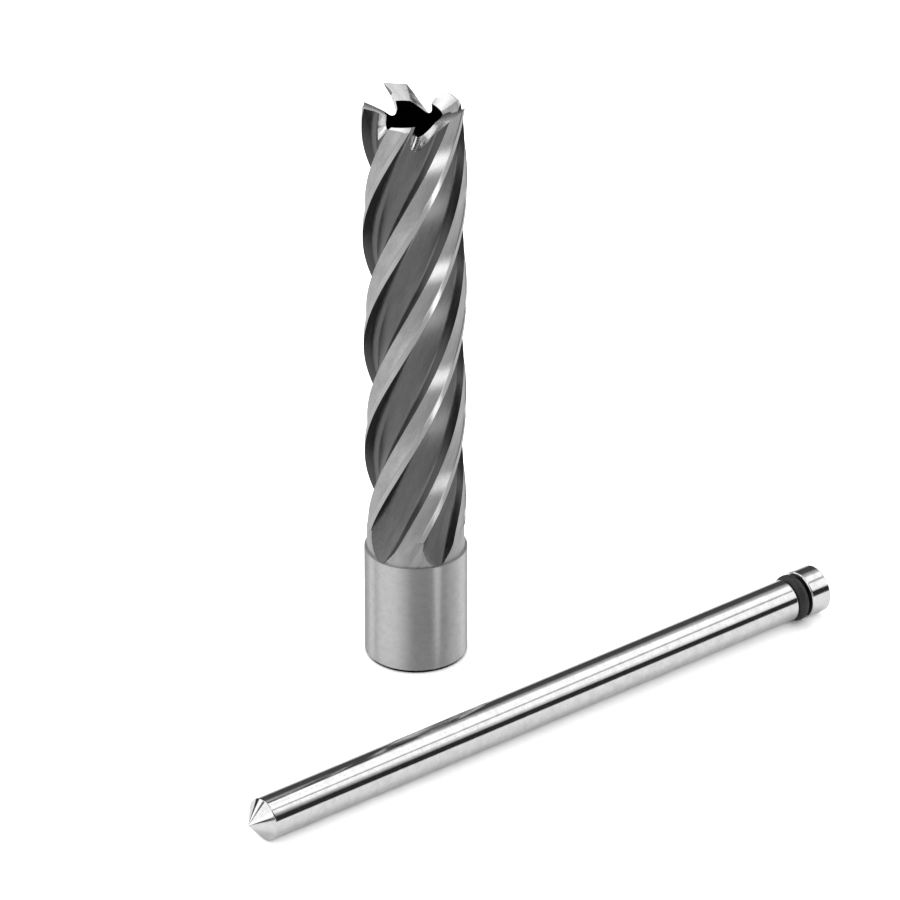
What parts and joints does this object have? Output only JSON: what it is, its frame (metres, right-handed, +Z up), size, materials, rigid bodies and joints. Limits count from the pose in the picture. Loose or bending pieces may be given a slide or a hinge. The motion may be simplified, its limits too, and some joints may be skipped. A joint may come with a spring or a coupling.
{
  "type": "annular cutter",
  "caption": "Annular cutter with a side-lock shank, spiral flutes and ground teeth, standing on its shank with its pilot pin lying in front.",
  "frame": {"origin": "On the surface the set stands on, at the middle of the footprint of the standing cutter and the lying pin together.", "axes": "+Z up, along the cutter's axis from its shank end to its teeth. +X along the width of the set as seen in the picture, towards the head end of the pin. +Y away from the viewer, from the pin to the cutter."},
  "size_m": [0.1074, 0.088, 0.1125],
  "materials": {
    "ground_tool_steel": "ground, with a fine satin grain along the flutes and round the shank",
    "polished_pin_steel": "finely ground and polished",
    "black_rubber": "moulded, slightly dull"
  },
  "bodies": {
    "root": {"cutter_body": "ground_tool_steel", "pilot_pin": "polished_pin_steel", "rubber_ring": "black_rubber"}
  },
  "joints": []
}
